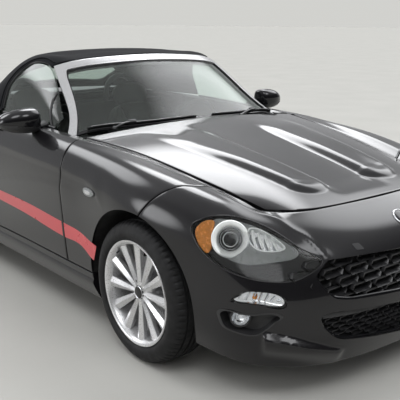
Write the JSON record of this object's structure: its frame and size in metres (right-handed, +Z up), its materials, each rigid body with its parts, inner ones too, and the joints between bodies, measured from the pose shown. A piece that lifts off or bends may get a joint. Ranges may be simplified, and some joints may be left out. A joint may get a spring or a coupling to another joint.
{
  "type": "convertible car",
  "caption": "Small two-seat convertible car with closed soft top, long domed hood, hinged doors, hood and trunk lid, steered front wheels and a lower side stripe.",
  "frame": {"origin": "on the ground under the middle of the car", "axes": "+Z up, the nose points to -Y and the car's left side to +X"},
  "size_m": [1.902, 4.037, 1.2334],
  "materials": {
    "body_paint": "gloss",
    "mirror_housing": "gloss",
    "grille_plastic": "satin",
    "lamp_lens": "clear",
    "tail_lens": "gloss",
    "screen_trim": "satin",
    "window_glass": "clear",
    "top_fabric": "woven",
    "seat_leather": "satin",
    "cabin_plastic": "matte",
    "wheel_leather": "satin",
    "hoop_satin": "satin",
    "underbody": "matte",
    "liner_plastic": "matte",
    "chassis_steel": "matte",
    "engine_alloy": "cast",
    "exhaust_steel": "brushed",
    "disc_steel": "turned",
    "rim_alloy": "painted silver",
    "tyre_rubber": "matte"
  },
  "bodies": {
    "body": {"rocker_panels": "body_paint", "fender_left": "body_paint", "fender_right": "body_paint", "front_bumper": "body_paint", "quarter_left": "body_paint", "quarter_right": "body_paint", "rear_bumper": "body_paint", "rear_deck": "body_paint", "grilles": "grille_plastic", "wipers": "grille_plastic", "headlamps": "lamp_lens", "lower_lamps": "lamp_lens", "tail_lamps": "tail_lens", "windshield_frame": "screen_trim", "windshield_glass": "window_glass", "rear_window": "window_glass", "soft_top": "top_fabric", "seats": "seat_leather", "dashboard": "cabin_plastic", "console": "cabin_plastic", "steering_column": "cabin_plastic", "roll_hoops": "hoop_satin", "floor_tub": "underbody", "firewall": "underbody", "rear_bulkhead": "underbody", "rails": "underbody", "wheelhouses": "liner_plastic", "front_subframe": "chassis_steel", "rear_subframe": "chassis_steel", "driveline": "chassis_steel", "hinges": "chassis_steel", "engine_block": "engine_alloy", "exhaust": "exhaust_steel"},
    "door_left": {"door_left": "body_paint", "door_glass_left": "window_glass", "mirror_left": "mirror_housing"},
    "door_right": {"door_right": "body_paint", "door_glass_right": "window_glass", "mirror_right": "mirror_housing"},
    "hood": {"hood": "body_paint"},
    "trunk_lid": {"trunk_lid": "body_paint"},
    "knuckle_left": {"knuckle_left": "chassis_steel"},
    "knuckle_right": {"knuckle_right": "chassis_steel"},
    "steering_wheel": {"steering_wheel": "wheel_leather"},
    "wheel_fl": {"rim_fl": "rim_alloy", "tyre_fl": "tyre_rubber", "brake_disc_fl": "disc_steel"},
    "wheel_fr": {"rim_fr": "rim_alloy", "tyre_fr": "tyre_rubber", "brake_disc_fr": "disc_steel"},
    "wheel_rl": {"rim_rl": "rim_alloy", "tyre_rl": "tyre_rubber", "brake_disc_rl": "disc_steel"},
    "wheel_rr": {"rim_rr": "rim_alloy", "tyre_rr": "tyre_rubber", "brake_disc_rr": "disc_steel"}
  },
  "joints": [
    {"name": "steer_left", "type": "hinge", "parent": "body", "child": "knuckle_left", "pos_m": [0.69, -1.166, 0.308], "axis": [0, 0, 1], "range_deg": [-31.35, 31.35]},
    {"name": "steer_right", "type": "hinge", "parent": "body", "child": "knuckle_right", "pos_m": [-0.69, -1.166, 0.308], "axis": [0, 0, 1], "range_deg": [-31.35, 31.35]},
    {"name": "steering_wheel_turn", "type": "hinge", "parent": "body", "child": "steering_wheel", "pos_m": [0.355, -0.026, 0.77], "axis": [0, 0.9272, 0.3746], "range_deg": [-485.93, 485.93]},
    {"name": "wheel_spin_fl", "type": "hinge", "parent": "knuckle_left", "child": "wheel_fl", "pos_m": [0.748, -1.166, 0.308], "axis": [1, 0, 0], "continuous": true},
    {"name": "wheel_spin_fr", "type": "hinge", "parent": "knuckle_right", "child": "wheel_fr", "pos_m": [-0.748, -1.166, 0.308], "axis": [1, 0, 0], "continuous": true},
    {"name": "wheel_spin_rl", "type": "hinge", "parent": "body", "child": "wheel_rl", "pos_m": [0.7515, 1.144, 0.308], "axis": [1, 0, 0], "continuous": true},
    {"name": "wheel_spin_rr", "type": "hinge", "parent": "body", "child": "wheel_rr", "pos_m": [-0.7515, 1.144, 0.308], "axis": [1, 0, 0], "continuous": true},
    {"name": "door_hinge_left", "type": "hinge", "parent": "body", "child": "door_left", "pos_m": [0.8, -0.503, 0.6], "axis": [0, 0, -1], "range_deg": [0, 65]},
    {"name": "door_hinge_right", "type": "hinge", "parent": "body", "child": "door_right", "pos_m": [-0.8, -0.503, 0.6], "axis": [0, 0, 1], "range_deg": [0, 65]},
    {"name": "hood_hinge", "type": "hinge", "parent": "body", "child": "hood", "pos_m": [0, -0.57871, 0.84233], "axis": [-1, 0, 0], "range_deg": [0, 50]},
    {"name": "trunk_hinge", "type": "hinge", "parent": "body", "child": "trunk_lid", "pos_m": [0, 1.174, 0.91886], "axis": [1, 0, 0], "range_deg": [0, 65]}
  ],
  "couplings": [
    {"joint": "steer_right", "follows": "steer_left", "ratio": 1},
    {"joint": "steering_wheel_turn", "follows": "steer_left", "ratio": 15.5}
  ]
}
